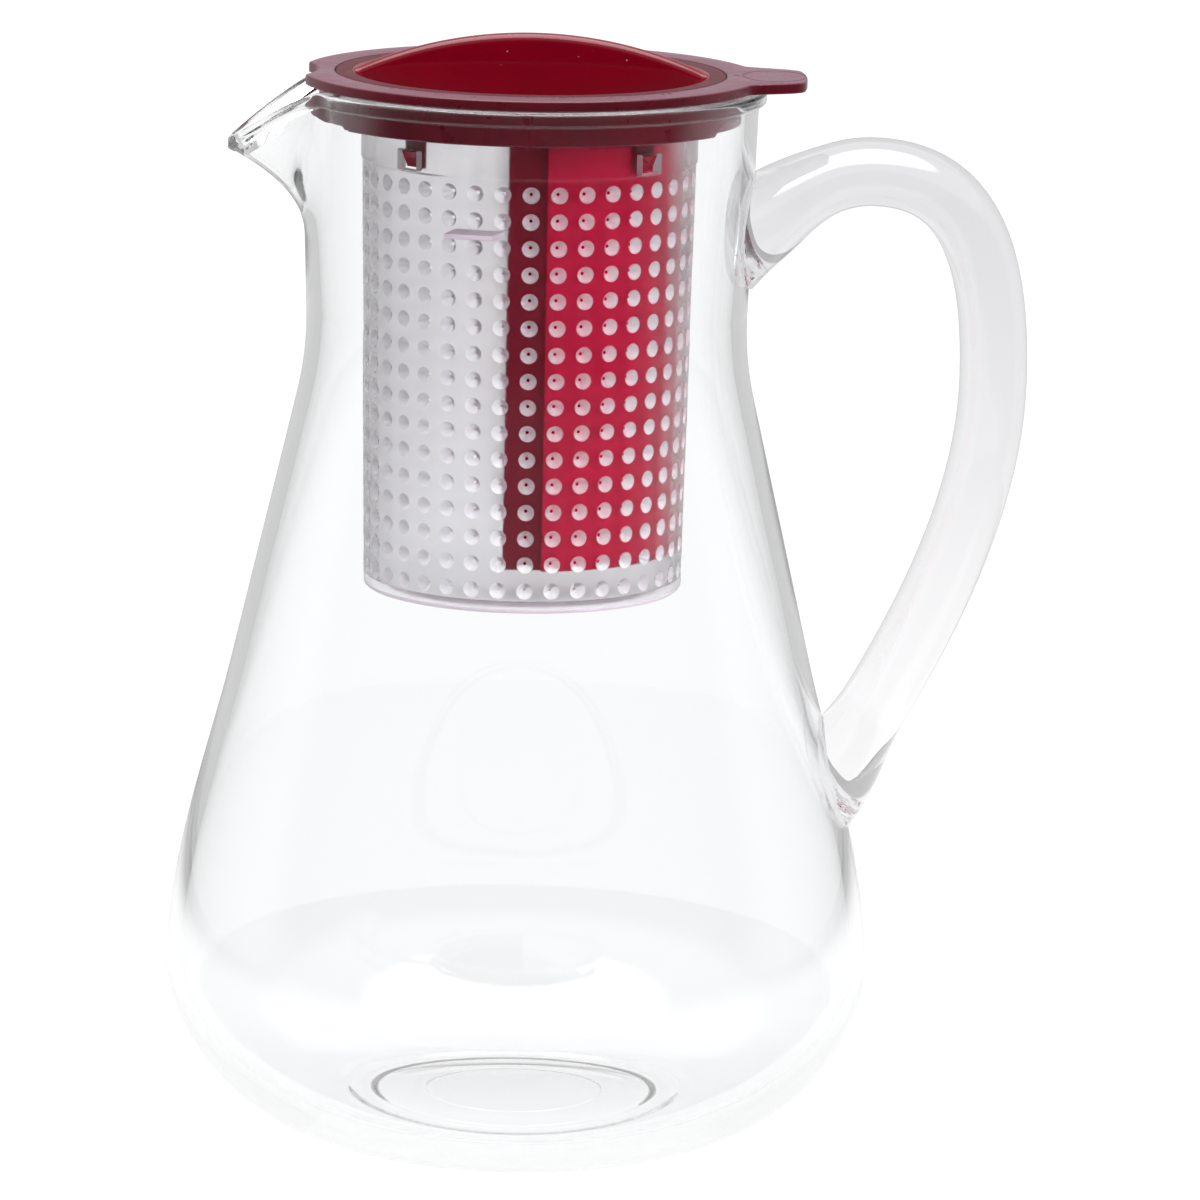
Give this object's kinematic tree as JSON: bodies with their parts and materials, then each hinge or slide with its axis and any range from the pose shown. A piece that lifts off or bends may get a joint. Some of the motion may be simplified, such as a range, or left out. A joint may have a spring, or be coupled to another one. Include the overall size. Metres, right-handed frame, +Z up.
{
  "type": "iced tea pitcher",
  "caption": "Clear pitcher with a bulging base, spout and loop handle; its lift-off lid carries a perforated brewing basket and a turn dial that shuts the basket off.",
  "frame": {"origin": "middle of the object's box, on the surface that the foot stands on", "axes": "+Z up along the pitcher's axis, +X from the spout towards the handle"},
  "size_m": [0.1784, 0.148, 0.2334],
  "materials": {
    "clear_plastic": "clear, polished",
    "lid_plastic": "satin maroon",
    "dial_plastic": "glossy red",
    "shutter_plastic": "glossy red",
    "basket_plastic": "clear outside, frosted inside"
  },
  "bodies": {
    "pitcher": {"pitcher_body": "clear_plastic", "handle": "clear_plastic"},
    "lid": {"lid_ring": "lid_plastic", "fixed_shutter": "shutter_plastic"},
    "dial": {"dial": "dial_plastic", "turning_shutter": "shutter_plastic"},
    "basket": {"filter_basket": "basket_plastic"}
  },
  "joints": [
    {"name": "lid_lift", "type": "slide", "parent": "pitcher", "child": "lid", "axis": [0, 0, 1], "range_m": [0, 0.12]},
    {"name": "brew_turn", "type": "hinge", "parent": "lid", "child": "dial", "pos_m": [-0.01525, 0, 0.2], "axis": [0, 0, 1], "range_deg": [0, 180]},
    {"name": "basket_unclip", "type": "slide", "parent": "lid", "child": "basket", "axis": [0, 0, -1], "range_m": [0, 0.1]}
  ]
}
